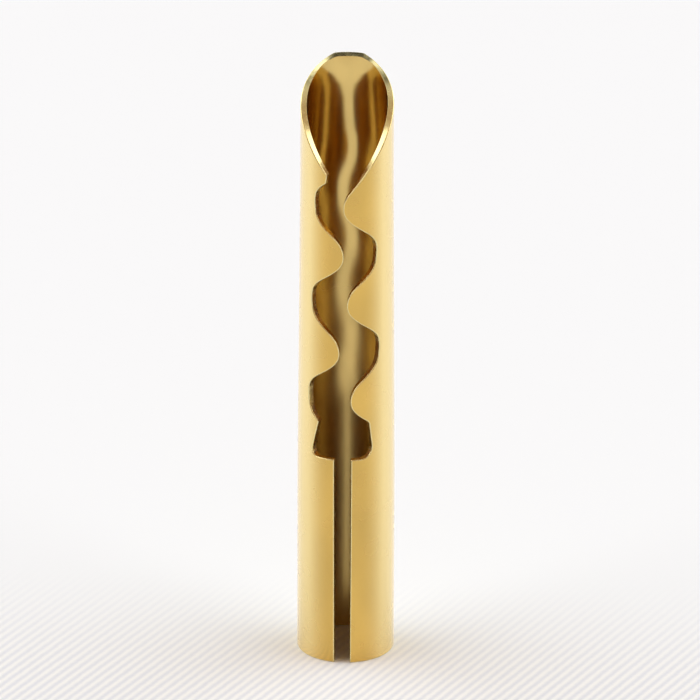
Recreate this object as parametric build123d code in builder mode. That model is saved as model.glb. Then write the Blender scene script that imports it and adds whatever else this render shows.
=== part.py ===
from build123d import *
import os
from math import asin, cos, pi, radians, sin, tan

# Contact plug for a loudspeaker or test lead: one blank of gold-plated sheet, rolled into a hollow
# sleeve. Its foot is a wire barrel with a straight slot. Above it the two edges of the blank run
# side by side as parallel waves, so that the sleeve can spring in a socket. The nose is a scoop.
#
# Sizes in millimetres, angles in degrees. +Z runs up the sleeve from its foot to its nose and the
# seam faces -Y. Lengths "across" the blank are measured round the outside, from the seam's middle.

# Tube
length = 28.1
foot_diameter = 4.4
nose_diameter = 4.17
sheet = 0.27
straight_foot = 8.6
straight_nose = 4.6

# Wire barrel and its slot, a little off the seam's middle
barrel_length = 10.03
slot_foot_width = 0.73
slot_top_width = 0.79
slot_shift = -0.05

# Pocket above the barrel, where the waves end
pocket_left = 1.69
pocket_right = 1.43
pocket_height = 1.75
left_corner = 0.32
right_corner = 0.55
shoulder_round = 0.15

# Waves, from the top of the barrel to the foot of the scoop, where the seam is narrower
wave_count = 2.716
wave_depth = 1.63
last_lobe_drop = 0.426
gap_at_barrel = 2.463
gap_at_scoop = 1.478
lobe_fullness = 0.06
lobe_droop = 0.05
flank_roundness = 0.064
cusp_trim = 0.82

# Nose: a flat end, then an arc that runs into a straight flank on each side
nose_shift = 0.03
tip_width = 1.35
tip_bevel = 0.12
tip_round = 0.5
flank_start = 25
flank_end = 50.6
flank_radius = 11

# How finely a wave, a flank or a corner is followed, and how far the cutting bodies reach past the wall
steps_per_pitch = 12
flank_steps = 28
corner_steps = 6
meeting_steps = 50
spare = 0.4

foot_radius = foot_diameter / 2
nose_radius = nose_diameter / 2
bore_side = nose_radius * 0.6
outside = foot_radius * 2.2
taper_top = length - straight_nose
seam_back = pi * nose_radius
tip_half = tip_width / 2
arc_run = flank_radius * (sin(radians(flank_end)) - sin(radians(flank_start)))
arc_drop = flank_radius * (cos(radians(flank_start)) - cos(radians(flank_end)))


def outer_radius(z):
    """Outside radius of the tapered sleeve at one height."""
    along = min(max((z - straight_foot) / (taper_top - straight_foot), 0), 1)
    return foot_radius + (nose_radius - foot_radius) * along


def rolled(across, z, reach):
    """Point of the blank once it is rolled, moved in or out to the radius 'reach'."""
    angle = across / outer_radius(z)
    return (reach * sin(angle), -reach * cos(angle), z)


def seam_edge(side, z):
    """Edge of the blank along the waves: side -1 is the left one, +1 the right one.

    Each lobe stands opposite a bay, its underside a little flatter and fuller than its top.
    """
    turn = 2 * pi * (z - last_lobe) / wave_pitch
    if side < 0:
        turn += pi
    lobe = cos(turn) + lobe_fullness * cos(2 * turn) - lobe_droop * sin(2 * turn)
    lobe -= flank_roundness * cos(3 * turn)
    along = (z - barrel_length) / (scoop_bottom - barrel_length)
    half_gap = (gap_at_barrel + (gap_at_scoop - gap_at_barrel) * along) / 2
    return side * (half_gap - lobe * wave_depth / 2)


def nose_height(from_back):
    """Height of the blank's end at a distance round from the middle of the back."""
    run = from_back - tip_half
    if run < 0:
        return length - run * tan(radians(flank_start))
    if run < arc_run:
        slope = asin(run / flank_radius + sin(radians(flank_start)))
        return length - flank_radius * (cos(radians(flank_start)) - cos(slope))
    return length - arc_drop - (run - arc_run) * tan(radians(flank_end))


def gap_to_flank(z):
    """How far the right wave's edge lies outside the straight flank of the nose."""
    run = arc_run + (length - arc_drop - z) / tan(radians(flank_end))
    return abs(seam_edge(1, z) - nose_shift - (seam_back - tip_half - run))


def cut_between(first, second):
    """Body between two edges of the flat blank, square to the rolled sheet.

    Each edge is a list of (across, z) points, and the two lists have the same length. The edges
    are carried to the bore side and to the outside, and ruled faces join the four curves.
    """
    steps = [float(i) for i in range(len(first))]
    curves = []
    for edge, reach in ((first, bore_side), (first, outside), (second, outside), (second, bore_side)):
        curves.append(Edge.make_spline([rolled(s, z, reach) for s, z in edge], parameters=steps))
    faces = []
    for curve, following in zip(curves, curves[1:] + curves[:1]):
        faces.append(Face.make_surface_from_curves(curve, following))
    for end in (0, 1):
        corners = [curve @ end for curve in curves]
        first_side = Edge.make_line(corners[0], corners[1])
        second_side = Edge.make_line(corners[3], corners[2])
        faces.append(Face.make_surface_from_curves(first_side, second_side))
    return Solid(Shell(faces))


def straight_cut(left, right, bottom, top):
    """Body between two straight edges, each given as its place at the bottom and at the top."""
    return cut_between([(left[0], bottom), (left[1], top)], [(right[0], bottom), (right[1], top)])


def spread(first, last, steps):
    """Even steps from the first value to the last."""
    return [first + (last - first) * i / steps for i in range(steps + 1)]


def corner_arc(before, corner, after, radius):
    """Points of the arc that rounds one corner of the flat blank."""
    with BuildLine() as rounded_corner:
        FilletPolyline(before, corner, after, radius=radius)
    arc = rounded_corner.edges().filter_by(GeomType.CIRCLE)[0]
    return [((arc @ along).X, (arc @ along).Y) for along in spread(0, 1, corner_steps)]


def seam_stretches(side, pocket_side, corner_radius):
    """One side of the seam, from the floor of the pocket to the nose: corner, wall, shoulder, wave."""
    floor_middle = (slot_shift, barrel_length)
    corner = (side * pocket_side, barrel_length)
    shoulder = (seam_edge(side, pocket_top), pocket_top)
    wave_start = pocket_top + shoulder_round
    lower_arc = corner_arc(floor_middle, corner, shoulder, corner_radius)
    upper_arc = corner_arc(corner, shoulder, (seam_edge(side, wave_start), wave_start), shoulder_round)
    levels = spread(upper_arc[-1][1], lobe_meets_nose, wave_steps)
    wave = [upper_arc[-1]] + [(seam_edge(side, z), z) for z in levels[1:]]
    return [lower_arc, [lower_arc[-1], upper_arc[0]], upper_arc, wave]


# The right wave's last lobe runs out into the nose where the two come closest
scoop_bottom = nose_height(seam_back)
wave_pitch = (scoop_bottom - barrel_length) / wave_count
last_lobe = scoop_bottom - last_lobe_drop
lobe_tops = spread(scoop_bottom, scoop_bottom + wave_pitch / 4, meeting_steps)
lobe_meets_nose = min(lobe_tops, key=gap_to_flank)
seam_top = lobe_meets_nose + wave_pitch / 2
pocket_top = barrel_length + pocket_height
wave_steps = round((lobe_meets_nose - pocket_top) / wave_pitch * steps_per_pitch)
left_side = seam_stretches(-1, pocket_left, left_corner)
right_side = seam_stretches(1, pocket_right, right_corner)

with BuildPart() as plug_sleeve:
    # The wall, with the sloping end face of the tip
    with BuildSketch(Plane.YZ):
        with BuildLine():
            Polyline(
                (-foot_radius, 0),
                (-foot_radius, straight_foot),
                (-nose_radius, taper_top),
                (-nose_radius, length),
                (-nose_radius + sheet, length - tip_bevel),
                (-nose_radius + sheet, taper_top),
                (-foot_radius + sheet, straight_foot),
                (-foot_radius + sheet, 0),
                close=True,
            )
        make_face()
    revolve(axis=Axis.Z)

    # The scoop of the nose, one flank at a time
    for side in (-1, 1):
        places = spread(tip_half - spare / 2, seam_back, flank_steps)
        flank = [(side * (seam_back - place) + nose_shift, nose_height(place)) for place in places]
        above = [(across, length + spare) for across, z in flank]
        add(cut_between(flank, above), mode=Mode.SUBTRACT)

    # The pocket and the waves above it, up to where the right one runs out into the nose
    for left, right in zip(left_side, right_side):
        add(cut_between(left, right), mode=Mode.SUBTRACT)

    # The left wave alone above that, and the cut that blunts its point beside the nose
    upper = spread(lobe_meets_nose, seam_top, steps_per_pitch)
    left_wave = [(seam_edge(-1, z), z) for z in upper]
    middle = [(nose_shift, z) for z in upper]
    add(cut_between(left_wave, middle), mode=Mode.SUBTRACT)
    blunt = (-cusp_trim, -cusp_trim)
    add(straight_cut(blunt, (0, 0), lobe_meets_nose, seam_top), mode=Mode.SUBTRACT)

    # The slot of the wire barrel
    slot_left = (slot_shift - slot_foot_width / 2, slot_shift - slot_top_width / 2)
    slot_right = (slot_shift + slot_foot_width / 2, slot_shift + slot_top_width / 2)
    add(straight_cut(slot_left, slot_right, 0, barrel_length), mode=Mode.SUBTRACT)

    # Rounded corners of the tip
    for side in (-1, 1):
        tip_corner = rolled(nose_shift + side * (seam_back - tip_half), length, nose_radius - sheet / 2)
        fillet(plug_sleeve.edges().sort_by_distance(tip_corner)[0], radius=tip_round)

plug_sleeve.part.label = "plug_sleeve"
os.makedirs("parts", exist_ok=True)
export_step(plug_sleeve.part, "parts/plug_sleeve.step")
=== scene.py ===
from math import asin, cos, pi, radians, sin, tan

import bpy
import numpy as np
from bpy.props import FloatProperty, FloatVectorProperty, PointerProperty
from mathutils import Matrix, Vector
from mathutils.geometry import delaunay_2d_cdt


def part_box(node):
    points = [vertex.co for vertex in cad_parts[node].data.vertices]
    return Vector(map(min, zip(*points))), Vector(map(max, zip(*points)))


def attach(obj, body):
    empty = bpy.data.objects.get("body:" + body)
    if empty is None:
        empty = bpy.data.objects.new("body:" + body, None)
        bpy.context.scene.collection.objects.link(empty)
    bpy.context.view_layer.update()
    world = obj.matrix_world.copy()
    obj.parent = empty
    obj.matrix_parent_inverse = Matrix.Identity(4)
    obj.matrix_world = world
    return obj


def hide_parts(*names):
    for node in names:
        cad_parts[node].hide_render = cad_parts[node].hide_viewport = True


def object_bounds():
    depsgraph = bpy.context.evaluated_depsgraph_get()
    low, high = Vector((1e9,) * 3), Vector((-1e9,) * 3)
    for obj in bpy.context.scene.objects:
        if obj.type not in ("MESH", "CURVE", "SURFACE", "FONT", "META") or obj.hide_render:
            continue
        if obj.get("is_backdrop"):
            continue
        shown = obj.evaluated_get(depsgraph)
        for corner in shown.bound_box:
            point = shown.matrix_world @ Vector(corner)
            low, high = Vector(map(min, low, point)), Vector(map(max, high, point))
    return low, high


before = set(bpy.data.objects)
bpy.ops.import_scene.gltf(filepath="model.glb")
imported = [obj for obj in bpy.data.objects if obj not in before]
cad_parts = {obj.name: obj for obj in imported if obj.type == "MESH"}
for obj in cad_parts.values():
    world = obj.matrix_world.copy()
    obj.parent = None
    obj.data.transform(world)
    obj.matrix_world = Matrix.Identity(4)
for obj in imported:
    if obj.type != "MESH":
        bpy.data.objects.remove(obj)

bl_info = {
    "name": "Rolled Contact Sleeve",
    "version": (1, 0, 0),
    "blender": (4, 5, 0),
    "location": "3D View > Sidebar > Sleeve",
    "description": "Builds a gold-plated contact sleeve, rolled from one blank, and its stage",
    "category": "Add Mesh",
}

MM = 0.001
LOW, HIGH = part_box("plug_sleeve")
CAD_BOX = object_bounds()

# How finely the blank's outline is drawn, before it is stepped evenly
CORNER_STEPS = 8
WAVE_STEPS = 600
FLANK_STEPS = 400
EDGE_STEPS = 5

# Steps of the flank that lead straight into the tip's corner
TIP_APPROACH = 8

# Height over which the taper's slope sets in, and the bevel's, as a multiple of its drop
TAPER_EASE = 1.5 * MM
BEVEL_EASE = 3

# Slope of the bore in the nose, as a share of the nose bend, at places in millimetres below the tip
BEND_PLACES = (0, 0.5, 1, 1.5, 2.1, 3.6)
BEND_SHARES = (-1.2, -0.9, 0.4, 1, 1, 0)

# The mesh: the border's step and its clearance from the even points inside it, as shares of the
# mesh step, how far an inset may be lengthened at a corner, and how near two points count as one
BORDER_STEP = 0.7
CLEARANCE = 0.55
SHARPEST_CORNER = 0.6
SAME_POINT = 1e-6

# The sleeve's three finishes, in the order in which its mesh takes them
OUTSIDE, BORE, CUT = range(3)

# The camera: size of the picture in pixels, width of the sensor in millimetres, clipping distances
PICTURE = 700
SENSOR = 36.0
CLIP_NEAR, CLIP_FAR = 0.01, 10.0

# Directions between which the room's light changes: how far they point to the back, and how far up
FRONT_TO_WALLS = (-0.4, 0.2)
WALLS_TO_CEILING = (0.68, 0.88)
LIT_TO_DARK_CEILING = (0.0, 0.25)

# The right lamp (the left one is its mirror image) and half the width of the floor, in metres
LAMP_PLACE = (0.52, 0.04, 0.40)
LAMP_SIZE = (0.96, 0.48)
HALF_FLOOR = 3.0

# Enough mirrorings for light to find its way down the bore
BORE_BOUNCES = 12

# ---- the user's values


def length_value(name, description, millimetres):
    """A length that the user may change, kept in metres."""
    return FloatProperty(name=name, description=description, default=millimetres * MM,
                         unit="LENGTH", subtype="DISTANCE", precision=5)


def angle_value(name, description, degrees):
    """An angle that the user may change, kept in radians."""
    return FloatProperty(name=name, description=description, default=radians(degrees),
                         unit="ROTATION", subtype="ANGLE")


def share_value(name, description, default):
    """A share between 0 and 1 that the user may change."""
    return FloatProperty(name=name, description=description, default=default, min=0.0, max=1.0)


def number_value(name, description, default, bottom=0.0, unit="NONE"):
    """A number without an upper limit that the user may change."""
    return FloatProperty(name=name, description=description, default=default, min=bottom, unit=unit)


def colour_value(name, description, default):
    """A colour that the user may change, in linear values."""
    return FloatVectorProperty(name=name, description=description, default=default, size=3,
                               min=0.0, max=1.0, subtype="COLOR")


class BlankSizes(bpy.types.PropertyGroup):
    """Sizes of the flat blank and of the sleeve that it is rolled into."""

    length: length_value("Length", "From the foot to the tip", HIGH.z / MM)
    foot_diameter: length_value("Foot diameter", "Outside, up to the taper", (HIGH.x - LOW.x) / MM)
    nose_diameter: length_value("Nose diameter", "Outside, above the taper", 4.17)
    sheet: length_value("Sheet", "Thickness of the sheet", 0.27)
    straight_foot: length_value("Straight foot", "Height of the straight part below the taper", 8.6)
    straight_nose: length_value("Straight nose", "Height of the straight part above the taper", 4.6)
    barrel_length: length_value("Barrel length", "Height of the slotted wire barrel", 10.03)
    slot_foot_width: length_value("Slot at the foot", "Width of the slot at the foot", 0.73)
    slot_top_width: length_value("Slot at the top", "Width of the slot at the pocket", 0.79)
    slot_shift: length_value("Slot shift", "How far the slot is off the seam's middle", -0.05)
    pocket_left: length_value("Pocket, left", "Reach of the pocket to the left", 1.69)
    pocket_right: length_value("Pocket, right", "Reach of the pocket to the right", 1.43)
    pocket_height: length_value("Pocket height", "From the barrel to the waves", 1.75)
    left_corner: length_value("Left corner", "Radius of the pocket's left corner", 0.32)
    right_corner: length_value("Right corner", "Radius of the pocket's right corner", 0.55)
    shoulder_round: length_value("Shoulders", "Radius between the pocket and the waves", 0.15)
    wave_count: number_value("Waves", "How many waves the seam has", 2.716)
    wave_depth: length_value("Wave depth", "From the top of a lobe to the floor of a bay", 1.63)
    last_lobe_drop: length_value("Last lobe", "How far it stands below the scoop", 0.426)
    gap_at_barrel: length_value("Gap at the barrel", "Mean width of the seam at the barrel", 2.463)
    gap_at_scoop: length_value("Gap at the scoop", "Mean width of the seam at the scoop", 1.478)
    lobe_fullness: share_value("Lobe fullness", "Second harmonic of the waves", 0.06)
    lobe_droop: share_value("Lobe droop", "Lean of the lobes", 0.05)
    flank_roundness: share_value("Flank roundness", "Third harmonic of the waves", 0.064)
    cusp_trim: length_value("Cusp trim", "Where the left wave's point is blunted", 0.82)
    nose_shift: length_value("Nose shift", "How far the scoop is off the middle", 0.03)
    tip_width: length_value("Tip width", "Width of the flat end", 1.35)
    tip_bevel: length_value("Tip bevel", "Drop of the end face from outside to inside", 0.12)
    tip_round: length_value("Tip round", "Radius of the tip's corners", 0.5)
    flank_start: angle_value("Flank start", "Slope of the scoop beside the tip", 25)
    flank_end: angle_value("Flank end", "Slope of the scoop at its foot", 50.6)
    flank_radius: length_value("Flank radius", "Radius between those two slopes", 11)
    nose_bend: angle_value("Nose bend", "Slope of the bore below the tip, before it flares", 6.5)
    edge_round: length_value("Outer edge round", "Radius where a cut edge meets the outside", 0.045)
    burr_round: length_value("Inner edge round", "Radius where a cut edge meets the bore", 0.01)
    mesh_step: length_value("Mesh step", "Distance between points of the skins", 0.13)


class SleeveFinish(bpy.types.PropertyGroup):
    """Colours and gloss of the plating."""

    outside: colour_value("Outside", "Satin plating on the outside", (0.71, 0.455, 0.093))
    inside: colour_value("Inside", "Bright plating in the bore", (0.73, 0.53, 0.19))
    cut: colour_value("Cut edges", "Plating on the cut edges", (0.90, 0.70, 0.34))
    # Painted sheen: the outside's colour is mixed towards this paler gold where it turns away from
    # the view
    pale: colour_value("Pale", "The outside where it turns away, hazed by its fine texture",
                       (0.975, 0.765, 0.32))
    mottle: share_value("Mottle", "How much the plating's colour varies", 0.28)
    mark_height: length_value("Marks", "Height of the marks on the cut edges, twice the bore's",
                              0.003)
    satin: share_value("Satin", "Roughness outside", 0.24)
    bright: share_value("Bright", "Roughness of the bore in the nose", 0.14)
    deep: share_value("Deep", "Roughness of the bore from the waves down", 0.27)
    edge_gloss: share_value("Edge gloss", "Roughness of the cut edges", 0.25)


class StageLook(bpy.types.PropertyGroup):
    """Colours and light of the stage, and where the camera stands."""

    cloth: colour_value("Cloth", "Colour of the pale floor where its ribs are too fine to see",
                        (0.92, 0.955, 1.0))
    # Painted light and shade of the cloth's relief: the ribs lighter, the grooves between them
    # darker
    rib: colour_value("Ribs", "Colour of the cloth's ribs in front", (0.965, 0.985, 1.0))
    shaded_groove: colour_value("Grooves", "Colour between the ribs", (0.755, 0.795, 0.875))
    rib_pitch: length_value("Rib pitch", "From one rib of the cloth to the next", 0.42)
    rib_angle: angle_value("Rib angle", "Direction of the ribs on the floor", 64)
    daylight: number_value("Room light", "Strength of the light from all sides", 0.975)
    walls: colour_value("Walls", "Light from the back and the sides, and of the lamps",
                        (0.96, 0.985, 1.0))
    front: colour_value("Front", "Light from the camera's side, against the white walls",
                        (0.42, 0.25, 0.12))
    ceiling: share_value("Ceiling", "Light from above the back, against the white walls", 0.02)
    lamp: number_value("Lamps", "Power of each soft lamp", 2.4, unit="POWER")
    elevation: angle_value("Camera elevation", "Angle of the view above the floor", 23)
    azimuth: angle_value("Camera azimuth", "How far the camera stands round to the right", 2.85)
    roll: angle_value("Camera roll", "Lean of the camera", 0.19)
    distance: length_value("Camera distance", "From the camera to the middle of the sleeve", 400)
    target_height: length_value("Target height", "Height of the point the camera is set out from",
                                14)
    scale: number_value("Picture scale", "Pixels for each millimetre at the target", 22.2, 1.0)
    target_x: number_value("Target across", "Column of the target in the picture, in pixels", 346.4)
    target_y: number_value("Target down", "Row of the target in the picture, in pixels", 360.3)


# ---- the rolled blank


def spread(first, last, steps):
    """Even steps from the first value to the last."""
    return [first + (last - first) * i / steps for i in range(steps + 1)]


def rounded(before, corner, after, radius):
    """Points of the arc that rounds one corner of the flat blank."""
    corner = Vector(corner)
    back, on = (Vector(before) - corner).normalized(), (Vector(after) - corner).normalized()
    half = back.angle(on) / 2
    centre = corner + (back + on).normalized() * radius / sin(half)
    first = corner + back * radius / tan(half) - centre
    last = corner + on * radius / tan(half) - centre
    turn = first.angle_signed(last)
    shares = spread(0, 1, CORNER_STEPS)
    points = [centre + Matrix.Rotation(-turn * share, 2) @ first for share in shares]
    return [(p.x, p.y) for p in points]


class Blank:
    """The flat blank in (across, height), and how it is rolled. Lengths are in metres."""

    def __init__(self, sizes):
        self.sizes = v = sizes
        self.foot_radius, self.nose_radius = v.foot_diameter / 2, v.nose_diameter / 2
        self.taper_top = v.length - v.straight_nose
        self.seam_back = pi * self.nose_radius
        self.tip_half = v.tip_width / 2
        self.arc_run = v.flank_radius * (sin(v.flank_end) - sin(v.flank_start))
        self.arc_drop = v.flank_radius * (cos(v.flank_start) - cos(v.flank_end))
        self.scoop_bottom = self.nose_height(self.seam_back)
        self.wave_pitch = (self.scoop_bottom - v.barrel_length) / v.wave_count
        self.last_lobe = self.scoop_bottom - v.last_lobe_drop
        self.pocket_top = v.barrel_length + v.pocket_height

    def outer_radius(self, z):
        """Outside radius at one height."""
        along = (z - self.sizes.straight_foot) / (self.taper_top - self.sizes.straight_foot)
        return self.foot_radius + (self.nose_radius - self.foot_radius) * np.clip(along, 0, 1)

    def seam_edge(self, side, z):
        """Edge of the blank along the waves: side -1 is the left one, +1 the right one."""
        v = self.sizes
        turn = 2 * pi * (z - self.last_lobe) / self.wave_pitch + (pi if side < 0 else 0)
        lobe = cos(turn) + v.lobe_fullness * cos(2 * turn) - v.lobe_droop * sin(2 * turn)
        lobe -= v.flank_roundness * cos(3 * turn)
        along = (z - v.barrel_length) / (self.scoop_bottom - v.barrel_length)
        half_gap = (v.gap_at_barrel + (v.gap_at_scoop - v.gap_at_barrel) * along) / 2
        return side * (half_gap - lobe * v.wave_depth / 2)

    def nose_height(self, from_back):
        """Height of the blank's end at a distance round from the middle of the back."""
        v = self.sizes
        run = from_back - self.tip_half
        if run < 0:
            return v.length
        if run < self.arc_run:
            slope = asin(run / v.flank_radius + sin(v.flank_start))
            return v.length - v.flank_radius * (cos(v.flank_start) - cos(slope))
        return v.length - self.arc_drop - (run - self.arc_run) * tan(v.flank_end)

    def flank_place(self, side, from_back):
        """Place across the blank of a point of the scoop."""
        return side * (self.seam_back - from_back) + self.sizes.nose_shift

    def side_stretches(self, side):
        """One side of the blank, from the foot to the tip, as smooth stretches between corners."""
        v = self.sizes
        reach = v.pocket_right if side > 0 else v.pocket_left
        corner_radius = v.right_corner if side > 0 else v.left_corner
        slot_foot = (v.slot_shift + side * v.slot_foot_width / 2, 0)
        slot_top = (v.slot_shift + side * v.slot_top_width / 2, v.barrel_length)
        corner = (side * reach, v.barrel_length)
        shoulder = (self.seam_edge(side, self.pocket_top), self.pocket_top)
        wave_start = self.pocket_top + v.shoulder_round
        lower = rounded(slot_top, corner, shoulder, corner_radius)
        on_wave = (self.seam_edge(side, wave_start), wave_start)
        upper = rounded(corner, shoulder, on_wave, v.shoulder_round)
        levels = spread(upper[-1][1], self.scoop_bottom + self.wave_pitch / 2, WAVE_STEPS)
        wave = [(self.seam_edge(side, z), z) for z in levels]
        flank = []
        for place in spread(self.seam_back, self.tip_half, FLANK_STEPS):
            flank.append((self.flank_place(side, place), self.nose_height(place)))
        wave, flank = self.joined(side, wave, flank)
        tip_middle = (side * self.seam_back, v.length)
        tip_arc = rounded(flank[-TIP_APPROACH], flank[-1], tip_middle, v.tip_round)
        flank = [p for p in flank if p[1] < tip_arc[0][1]] + [tip_arc[0]]
        slot, floor, wall = [slot_foot, slot_top], [slot_top, lower[0]], [lower[-1], upper[0]]
        return [slot, floor, lower, wall, upper, wave, flank, tip_arc]

    def joined(self, side, wave, flank):
        """The wave and the scoop, cut off where they meet or, on the left, at the blunted point."""
        if side > 0:
            near = [(abs(across - self.flank_at(side, z)), i) for i, (across, z) in enumerate(wave)
                    if z > self.scoop_bottom]
            wave = wave[:min(near)[1] + 1]
            return wave, [wave[-1]] + [p for p in flank if p[1] > wave[-1][1]]
        trim = -self.sizes.cusp_trim
        wave = [p for p in wave if p[1] < self.last_lobe or p[0] < trim]
        flank = [p for p in flank if p[0] < trim]
        return wave + [(trim, wave[-1][1])], [(trim, flank[0][1])] + flank

    def flank_at(self, side, z):
        """Place across the blank of the straight flank of the scoop at one height."""
        v = self.sizes
        run = self.arc_run + (v.length - self.arc_drop - z) / tan(v.flank_end)
        return self.flank_place(side, self.tip_half + run)

    def unrolled(self, points, side):
        """(across, height) as (round from the back, height), with the left side on the right."""
        points = np.array(points, float)
        angle = points[:, 0] / self.outer_radius(points[:, 1]) - side * pi
        return np.stack([angle * self.foot_radius, points[:, 1]], 1)

    def outline(self, step):
        """The blank's outline, evenly stepped along each stretch, the body on its left."""
        left = [self.unrolled(s, -1) for s in self.side_stretches(-1)]
        right = [self.unrolled(s, 1)[::-1] for s in reversed(self.side_stretches(1))]
        tip = [np.array([left[-1][-1], right[0][0]])]
        foot = [np.array([right[-1][-1], left[0][0]])]
        points = [even(s, step)[:-1] for s in left + tip + right + foot]
        return np.concatenate(points)

    def rolled(self, points, depth):
        """Places in space of points of the outline's plane, at one depth below the outside."""
        angle = points[:, 0] / self.foot_radius + pi
        reach = self.outer_radius(points[:, 1]) - depth
        height = points[:, 1] - depth * self.bevel(points[:, 1])
        return np.stack([reach * np.sin(angle), -reach * np.cos(angle), height], 1)

    def bevel(self, z):
        """Slope of the end face into the bore: full at the tip, none a little below it."""
        soft_end = self.sizes.length - self.sizes.tip_bevel * BEVEL_EASE
        share = np.clip((z - soft_end) / (self.sizes.length - soft_end), 0, 1)
        return self.sizes.tip_bevel / self.sizes.sheet * share * share * (3 - 2 * share)

    def lean(self, z):
        """Slope of the wall, eased where the taper starts and ends."""
        slope = (self.foot_radius - self.nose_radius) / (self.taper_top - self.sizes.straight_foot)
        start = np.clip((z - self.sizes.straight_foot) / TAPER_EASE / 2 + 0.5, 0, 1)
        end = np.clip((self.taper_top - z) / TAPER_EASE / 2 + 0.5, 0, 1)
        return slope * start * end

    def bend(self, z):
        """Slope given to the bore's normals in the nose, which lean in a little and flare at the
        tip; the bore's points are not moved.
        """
        down = (self.sizes.length - z) / MM
        return tan(self.sizes.nose_bend) * np.interp(down, BEND_PLACES, BEND_SHARES)

    def normals(self, points, outward, share):
        """Normals at points of the outline's plane.

        Share 1 looks out of the wall, -1 into the bore and 0 along the sheet, in the direction
        'outward'.
        """
        angle = points[:, 0] / self.foot_radius + pi
        slope = self.lean(points[:, 1]) + (self.bend(points[:, 1]) if share < 0 else 0)
        wall = np.stack([np.sin(angle), -np.cos(angle), slope], 1)
        round_wall = np.stack([np.cos(angle), np.sin(angle), 0 * angle], 1)
        along = outward[:, :1] * round_wall + outward[:, 1:] * np.array([0, 0, 1.0])
        edge = along - wall * (self.bevel(points[:, 1]) * outward[:, 1])[:, None]
        found = wall * share + edge * (1 - share * share) ** 0.5
        return found / np.linalg.norm(found, axis=1)[:, None]


def even(points, step):
    """Points evenly spaced along a line, about one step apart, with both ends kept."""
    gaps = np.hypot(*np.diff(points, axis=0).T)
    along = np.concatenate([[0], np.cumsum(gaps)])
    places = np.linspace(0, along[-1], max(1, round(along[-1] / step)) + 1)
    return np.stack([np.interp(places, along, points[:, i]) for i in (0, 1)], 1)


def outward_of(points):
    """Outward direction at each point of a closed outline.

    It is longer at a corner, so that an inset keeps its distance from both sides.
    """
    edge = np.roll(points, -1, 0) - points
    edge /= np.linalg.norm(edge, axis=1)[:, None]
    normal = np.stack([edge[:, 1], -edge[:, 0]], 1)
    both = normal + np.roll(normal, 1, 0)
    both /= np.linalg.norm(both, axis=1)[:, None]
    return both / np.maximum((both * normal).sum(1), SHARPEST_CORNER)[:, None]


def edge_profile(sheet, outer, inner):
    """(inset, depth, share of the wall's normal) across a cut edge, from outside to bore."""
    rows = []
    for turn in spread(0, pi / 2, EDGE_STEPS):
        rows.append((outer * (1 - sin(turn)), outer * (1 - cos(turn)), cos(turn)))
    for turn in spread(pi / 2, 0, EDGE_STEPS):
        rows.append((inner * (1 - sin(turn)), sheet - inner * (1 - cos(turn)), -cos(turn)))
    return rows


def skin_triangles(border, step):
    """The border filled with even points and triangles.

    Returns the points, the number that each had among the border's and the even ones, and the
    triangles.
    """
    low, high = border.min(0), border.max(0)
    columns = np.linspace(low[0], high[0], round((high[0] - low[0]) / step) + 1)
    rows = np.linspace(low[1], high[1], round((high[1] - low[1]) / step) + 1)
    grid = np.array([(x, y) for y in rows for x in columns])
    cells = {}
    for x, y in border:
        cells.setdefault((int(x // step), int(y // step)), []).append((x, y))
    kept = []
    for x, y in grid:
        column, row = int(x // step), int(y // step)
        around = [(column + i, row + j) for i in (-1, 0, 1) for j in (-1, 0, 1)]
        near = [p for cell in around for p in cells.get(cell, [])]
        if all((x - a) ** 2 + (y - b) ** 2 > (CLEARANCE * step) ** 2 for a, b in near):
            kept.append((x, y))
    scale = 1 / step
    places = [Vector((x * scale, y * scale)) for x, y in [*border, *kept]]
    ring = list(range(len(border)))
    inside_only = 1
    corners, _, triangles, sources, _, _ = delaunay_2d_cdt(places, [], [ring], inside_only,
                                                           SAME_POINT)
    points = np.array([(p.x, p.y) for p in corners]) * step
    return points, [numbers[0] for numbers in sources], [tuple(t) for t in triangles]


def rolled_mesh(blank, name):
    """The whole sleeve as one closed mesh: outside, bore and rounded cut edges."""
    v = blank.sizes
    edge = blank.outline(v.mesh_step * BORDER_STEP)
    outward = outward_of(edge)
    unit = outward / np.linalg.norm(outward, axis=1)[:, None]
    profile = edge_profile(v.sheet, v.edge_round, v.burr_round)
    border = edge - outward * v.edge_round
    skin, order, triangles = skin_triangles(border, v.mesh_step)
    count, ring = len(skin), len(edge)
    place_of = {source: i for i, source in enumerate(order) if source < ring}
    none = np.zeros((count, 2))
    bore = skin.copy()
    for i in range(ring):
        bore[place_of[i]] = edge[i] - outward[i] * v.burr_round
    places = [blank.rolled(skin, 0), blank.rolled(bore, v.sheet)]
    normals = [blank.normals(skin, none, 1), blank.normals(bore, none, -1)]
    for inset, depth, share in profile[1:-1]:
        row = edge - outward * inset
        places.append(blank.rolled(row, depth))
        normals.append(blank.normals(row, unit, share))
    outside = [place_of[i] for i in range(ring)]
    rings = [outside]
    for k in range(len(profile) - 2):
        rings.append([2 * count + k * ring + i for i in range(ring)])
    rings.append([count + i for i in outside])
    faces = list(triangles) + [tuple(count + i for i in reversed(f)) for f in triangles]
    finishes = [OUTSIDE] * len(triangles) + [BORE] * len(triangles)
    for above, below in zip(rings, rings[1:]):
        for i in range(ring):
            j = (i + 1) % ring
            faces.append((above[i], below[i], below[j], above[j]))
            finishes.append(CUT)
    mesh = bpy.data.meshes.new(name)
    mesh.from_pydata(np.concatenate(places).tolist(), [], faces)
    mesh.polygons.foreach_set("material_index", finishes)
    mesh.polygons.foreach_set("use_smooth", [True] * len(faces))
    mesh.validate()
    mesh.normals_split_custom_set_from_vertices(np.concatenate(normals).tolist())
    mesh.update()
    return mesh


# ---- materials


def new_material(name):
    """An empty node material: (material, its nodes, a function that links two sockets)."""
    material = bpy.data.materials.new(name)
    material.use_nodes = True
    material.node_tree.nodes.clear()
    return material, material.node_tree.nodes, material.node_tree.links.new


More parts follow.
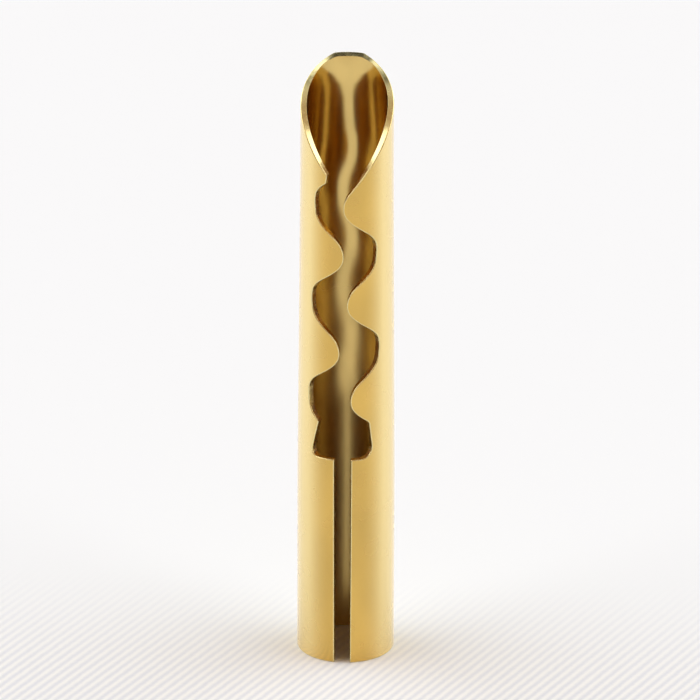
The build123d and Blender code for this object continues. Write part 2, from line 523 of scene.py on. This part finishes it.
def feed(link, socket, value):
    """Gives an input socket another node's output, a number or a colour."""
    if isinstance(value, bpy.types.NodeSocket):
        link(value, socket)
    elif isinstance(value, (int, float)):
        socket.default_value = value
    else:
        socket.default_value = (*value, 1)


def fade(nodes, link, value, limits, ends=(0, 1), kind="SMOOTHSTEP"):
    """Change from one end value to the other between two limits: its output socket."""
    ramp = nodes.new("ShaderNodeMapRange")
    ramp.interpolation_type = kind
    names = ("From Min", "From Max", "To Min", "To Max")
    for name, number in zip(names, (*limits, *ends)):
        ramp.inputs[name].default_value = number
    link(value, ramp.inputs["Value"])
    return ramp.outputs["Result"]


def mixed(nodes, link, factor, first, second):
    """Mix of two colours: its output socket."""
    mix = nodes.new("ShaderNodeMix")
    mix.data_type = "RGBA"
    link(factor, mix.inputs["Factor"])
    feed(link, mix.inputs["A"], first)
    feed(link, mix.inputs["B"], second)
    return mix.outputs["Result"]


def multiply_add(nodes, link, value, factor, added):
    """The value times the factor, with a number added: its output socket."""
    result = nodes.new("ShaderNodeMath")
    result.operation = "MULTIPLY_ADD"
    for socket, number in zip(result.inputs, (value, factor, added)):
        feed(link, socket, number)
    return result.outputs["Value"]


def object_axis(nodes, link, axis):
    """Place of the shaded point along one of the object's axes: its output socket."""
    place = nodes.new("ShaderNodeTexCoord")
    axes = nodes.new("ShaderNodeSeparateXYZ")
    link(place.outputs["Object"], axes.inputs["Vector"])
    return axes.outputs[axis]


def plating(name, colour, roughness):
    """Plain gold plating: (material, nodes, link, shader)."""
    material, nodes, link = new_material(name)
    shader = nodes.new("ShaderNodeBsdfPrincipled")
    output = nodes.new("ShaderNodeOutputMaterial")
    link(shader.outputs["BSDF"], output.inputs["Surface"])
    shader.inputs["Base Color"].default_value = (*colour, 1)
    shader.inputs["Metallic"].default_value = 1
    shader.inputs["Roughness"].default_value = roughness
    return material, nodes, link, shader


def grain(nodes, link, stretch, octaves):
    """Fine noise on the plating, in waves per metre along the object's axes: its output socket."""
    place = nodes.new("ShaderNodeTexCoord")
    stretched = nodes.new("ShaderNodeMapping")
    stretched.inputs["Scale"].default_value = stretch
    link(place.outputs["Object"], stretched.inputs["Vector"])
    noise = nodes.new("ShaderNodeTexNoise")
    noise.inputs["Scale"].default_value = 1
    noise.inputs["Detail"].default_value = octaves
    link(stretched.outputs["Vector"], noise.inputs["Vector"])
    return noise.outputs["Fac"]


def mottle_gloss(nodes, link, shader, pattern, roughness, less, more):
    """Lets the roughness wander a little below and above its value."""
    middle_of_noise = (0.3, 0.7)
    limits = (roughness - less, roughness + more)
    gloss = fade(nodes, link, pattern, middle_of_noise, limits, "LINEAR")
    link(gloss, shader.inputs["Roughness"])


def mottled(nodes, link, pattern, colour, share):
    """A colour that wanders a little darker and lighter: its output socket."""
    darker = [value * (1 - share) for value in colour]
    lighter = [min(1, value * (1 + share)) for value in colour]
    return mixed(nodes, link, pattern, darker, lighter)


def emboss(nodes, link, shader, pattern, height):
    """Raises a pattern very faintly on the surface."""
    faint = 0.2
    bump = nodes.new("ShaderNodeBump")
    bump.inputs["Strength"].default_value = faint
    bump.inputs["Distance"].default_value = height
    link(pattern, bump.inputs["Height"])
    link(bump.outputs["Normal"], shader.inputs["Normal"])


def satin_plating(finish):
    """The outside: mottled satin under a clear film, with a painted sheen that mixes its colour
    towards a paler gold where it turns away from the view.
    """
    film_roughness = 0.3
    painted_sheen_facing = (0.12, 0.45)
    patch_grain, blotch_grain, octaves = (900, 900, 900), (420, 420, 260), 1
    material, nodes, link, shader = plating("satin_gold", finish.outside, finish.satin)
    shader.inputs["Coat Weight"].default_value = 1
    shader.inputs["Coat Roughness"].default_value = film_roughness
    patches = grain(nodes, link, patch_grain, octaves)
    mottle_gloss(nodes, link, shader, patches, finish.satin, less=0.04, more=0.05)
    # Painted sheen: the gold turns towards the pale colour where the surface turns away from the
    # view
    facing = nodes.new("ShaderNodeLayerWeight")
    turned = fade(nodes, link, facing.outputs["Facing"], painted_sheen_facing)
    blotches = grain(nodes, link, blotch_grain, octaves)
    gold = mottled(nodes, link, blotches, finish.outside, finish.mottle)
    link(mixed(nodes, link, turned, gold, finish.pale), shader.inputs["Base Color"])
    return material


def bright_plating(finish):
    """The bore: bright in the nose and duller deep inside, with faint lines along the sleeve."""
    deep_to_nose = (14 * MM, 24 * MM)
    patch_grain, patch_octaves, patch_roughness = (700, 700, 350), 2, 0.06
    line_grain, line_octaves = (2600, 2600, 160), 1
    material, nodes, link, shader = plating("bright_gold", finish.inside, finish.bright)
    patches = grain(nodes, link, patch_grain, patch_octaves)
    height = object_axis(nodes, link, "Z")
    roughness = fade(nodes, link, height, deep_to_nose, (finish.deep, finish.bright))
    gloss = multiply_add(nodes, link, patches, patch_roughness, roughness)
    link(gloss, shader.inputs["Roughness"])
    gold = mottled(nodes, link, patches, finish.inside, finish.mottle)
    link(gold, shader.inputs["Base Color"])
    lines = grain(nodes, link, line_grain, line_octaves)
    emboss(nodes, link, shader, lines, finish.mark_height / 2)
    return material


def cut_plating(finish):
    """The cut edges of the sheet: glossy, with the fine marks of the shear."""
    mark_grain, octaves = (2400, 2400, 2400), 2
    material, nodes, link, shader = plating("cut_gold", finish.cut, finish.edge_gloss)
    marks = grain(nodes, link, mark_grain, octaves)
    mottle_gloss(nodes, link, shader, marks, finish.edge_gloss, less=0.05, more=0.06)
    gold = mottled(nodes, link, marks, finish.cut, finish.mottle)
    link(gold, shader.inputs["Base Color"])
    emboss(nodes, link, shader, marks, finish.mark_height)
    return material


def rib_pattern(nodes, link, look):
    """Slanting ribs of the cloth, each a little broken by its stitches: its output socket, the mask
    of the ribs' painted light and shade.
    """
    radians_at_scale_one = 20
    waviness, fineness_of_waviness, stitches_per_rib = 0.6, 3, 2.5
    rib_share, stitch_share = 0.8, 0.4
    place = nodes.new("ShaderNodeTexCoord")
    turned = nodes.new("ShaderNodeMapping")
    turned.vector_type = "TEXTURE"
    turned.inputs["Rotation"].default_value = (0, 0, look.rib_angle - pi / 2)
    link(place.outputs["Object"], turned.inputs["Vector"])
    ribs = nodes.new("ShaderNodeTexWave")
    ribs.bands_direction = "X"
    ribs.inputs["Scale"].default_value = 2 * pi / look.rib_pitch / radians_at_scale_one
    ribs.inputs["Distortion"].default_value = waviness
    ribs.inputs["Detail Scale"].default_value = fineness_of_waviness
    link(turned.outputs["Vector"], ribs.inputs["Vector"])
    stitches = nodes.new("ShaderNodeTexNoise")
    stitches.inputs["Scale"].default_value = stitches_per_rib / look.rib_pitch
    link(place.outputs["Object"], stitches.inputs["Vector"])
    broken = multiply_add(nodes, link, stitches.outputs["Fac"], stitch_share, 0)
    return multiply_add(nodes, link, ribs.outputs["Fac"], rib_share, broken)


def twill_cloth(look):
    """White cotton twill: its ribs, lighter with painted light, and the grooves between them,
    darker with painted shade, show in front of the sleeve and fade out behind it.
    """
    ribbed_to_smooth = (-5.4 * MM, 8.6 * MM)
    material, nodes, link = new_material("white_twill")
    shader = nodes.new("ShaderNodeBsdfDiffuse")
    output = nodes.new("ShaderNodeOutputMaterial")
    link(shader.outputs["BSDF"], output.inputs["Surface"])
    # Painted light and shade of the ribs: lighter ribs, darker grooves between them
    rib_light_and_shade = mixed(nodes, link, rib_pattern(nodes, link, look), look.shaded_groove, look.rib)
    behind = fade(nodes, link, object_axis(nodes, link, "Y"), ribbed_to_smooth)
    link(mixed(nodes, link, behind, rib_light_and_shade, look.cloth), shader.inputs["Color"])
    return material


# ---- operators


class SLEEVE_OT_camera(bpy.types.Operator):
    """Sets up the camera at the picture's viewing angle"""

    bl_idname = "sleeve.camera"
    bl_label = "Camera"

    def execute(self, context):
        look = context.scene.sleeve_stage
        data = bpy.data.cameras.new("picture_camera")
        camera = bpy.data.objects.new("picture_camera", data)
        context.scene.collection.objects.link(camera)
        context.scene.camera = camera

        # Straight view of the target, first from the front and level with the picture's edges
        forward = Vector((0, cos(look.elevation), -sin(look.elevation)))
        level_up = Vector((0, sin(look.elevation), cos(look.elevation)))
        level_right = Vector((1, 0, 0))
        right = level_right * cos(look.roll) + level_up * sin(look.roll)
        up = level_up * cos(look.roll) - level_right * sin(look.roll)
        turn = Matrix.Rotation(look.azimuth, 3, "Z")
        forward, up, right = turn @ forward, turn @ up, turn @ right

        # The point that the lens looks at, so that the target comes to its place in the picture
        target = Vector((0, 0, look.target_height))
        place = target - forward * look.distance
        per_pixel = MM / look.scale
        aim = target + right * (PICTURE / 2 - look.target_x) * per_pixel
        aim += up * (look.target_y - PICTURE / 2) * per_pixel
        back = (place - aim).normalized()
        right = up.cross(back).normalized()
        axes = Matrix((right, back.cross(right), back)).transposed()
        camera.matrix_world = Matrix.Translation(place) @ axes.to_4x4()
        data.sensor_width = SENSOR
        data.lens = look.distance / per_pixel / PICTURE * SENSOR
        data.clip_start, data.clip_end = CLIP_NEAR, CLIP_FAR
        return {"FINISHED"}


class SLEEVE_OT_sleeve(bpy.types.Operator):
    """Rolls the sleeve from its blank and plates it"""

    bl_idname = "sleeve.sleeve"
    bl_label = "Sleeve"

    def execute(self, context):
        finish = context.scene.sleeve_finish
        mesh = rolled_mesh(Blank(context.scene.sleeve_sizes), "rolled_sleeve")
        for material in (satin_plating(finish), bright_plating(finish), cut_plating(finish)):
            mesh.materials.append(material)
        sleeve = bpy.data.objects.new("rolled_sleeve", mesh)
        context.scene.collection.objects.link(sleeve)
        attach(sleeve, "root")
        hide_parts("plug_sleeve")
        return {"FINISHED"}


class SLEEVE_OT_stage(bpy.types.Operator):
    """Lays the pale floor and sets the soft light"""

    bl_idname = "sleeve.stage"
    bl_label = "Stage"

    def execute(self, context):
        scene = context.scene
        look = scene.sleeve_stage
        self.lay_floor(scene, look)
        self.light_room(scene, look)
        self.hang_lamps(scene, look)
        scene.view_settings.view_transform = "Standard"
        scene.cycles.glossy_bounces = BORE_BOUNCES
        return {"FINISHED"}

    def lay_floor(self, scene, look):
        """A wide pale cloth."""
        sides = ((-1, -1), (1, -1), (1, 1), (-1, 1))
        corners = [(x * HALF_FLOOR, y * HALF_FLOOR, 0) for x, y in sides]
        mesh = bpy.data.meshes.new("pale_floor")
        mesh.from_pydata(corners, [], [(0, 1, 2, 3)])
        mesh.materials.append(twill_cloth(look))
        floor = bpy.data.objects.new("pale_floor", mesh)
        scene.collection.objects.link(floor)
        floor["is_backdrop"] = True

    def light_room(self, scene, look):
        """White walls at the back and the sides, a warm dim front, a dark ceiling over the back."""
        world = bpy.data.worlds.new("room")
        scene.world = world
        world.use_nodes = True
        nodes, link = world.node_tree.nodes, world.node_tree.links.new
        background = nodes["Background"]
        direction = nodes.new("ShaderNodeTexCoord")
        axes = nodes.new("ShaderNodeSeparateXYZ")
        link(direction.outputs["Generated"], axes.inputs["Vector"])
        to_back, to_zenith = axes.outputs["Y"], axes.outputs["Z"]
        walls = fade(nodes, link, to_back, FRONT_TO_WALLS)
        link(mixed(nodes, link, walls, look.front, look.walls), background.inputs["Color"])
        above = fade(nodes, link, to_zenith, WALLS_TO_CEILING)
        behind = fade(nodes, link, to_back, LIT_TO_DARK_CEILING)
        ceiling = multiply_add(nodes, link, above, behind, 0)
        strengths = (look.daylight, look.daylight * look.ceiling)
        link(fade(nodes, link, ceiling, (0, 1), strengths), background.inputs["Strength"])

    def hang_lamps(self, scene, look):
        """Two wide soft lamps, one at each side."""
        across, back, height = LAMP_PLACE
        for name, side in (("lamp_left", -1), ("lamp_right", 1)):
            data = bpy.data.lights.new(name, "AREA")
            data.shape = "RECTANGLE"
            data.size, data.size_y = LAMP_SIZE
            data.energy = look.lamp
            data.color = look.walls
            lamp = bpy.data.objects.new(name, data)
            lamp.location = (side * across, back, height)
            lamp.rotation_euler = (-lamp.location).to_track_quat("-Z", "Y").to_euler()
            scene.collection.objects.link(lamp)


class SLEEVE_PT_panel(bpy.types.Panel):
    """Lists the sleeve's steps and values"""

    bl_label = "Rolled Contact Sleeve"
    bl_idname = "SLEEVE_PT_panel"
    bl_space_type = "VIEW_3D"
    bl_region_type = "UI"
    bl_category = "Sleeve"

    def draw(self, context):
        for operator in OPERATORS:
            self.layout.operator(operator.bl_idname)
        scene = context.scene
        for group in (scene.sleeve_sizes, scene.sleeve_finish, scene.sleeve_stage):
            box = self.layout.box()
            for name in group.bl_rna.properties.keys():
                if name not in ("rna_type", "name"):
                    box.prop(group, name)


OPERATORS = (SLEEVE_OT_camera, SLEEVE_OT_sleeve, SLEEVE_OT_stage)
CLASSES = (BlankSizes, SleeveFinish, StageLook, *OPERATORS, SLEEVE_PT_panel)


def register():
    """Adds the classes and the scene's three groups of values."""
    for kind in CLASSES:
        bpy.utils.register_class(kind)
    bpy.types.Scene.sleeve_sizes = PointerProperty(type=BlankSizes)
    bpy.types.Scene.sleeve_finish = PointerProperty(type=SleeveFinish)
    bpy.types.Scene.sleeve_stage = PointerProperty(type=StageLook)


def unregister():
    """Takes them away again."""
    del bpy.types.Scene.sleeve_stage
    del bpy.types.Scene.sleeve_finish
    del bpy.types.Scene.sleeve_sizes
    for kind in reversed(CLASSES):
        bpy.utils.unregister_class(kind)


def main():
    """Makes the camera, the sleeve and the stage."""
    register()
    bpy.ops.sleeve.camera()
    bpy.ops.sleeve.sleeve()
    bpy.ops.sleeve.stage()
    boxes = {"cad": CAD_BOX, "visual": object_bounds()}
    boxes = {name: [list(corner) for corner in box] for name, box in boxes.items()}


if __name__ == "__main__":
    main()
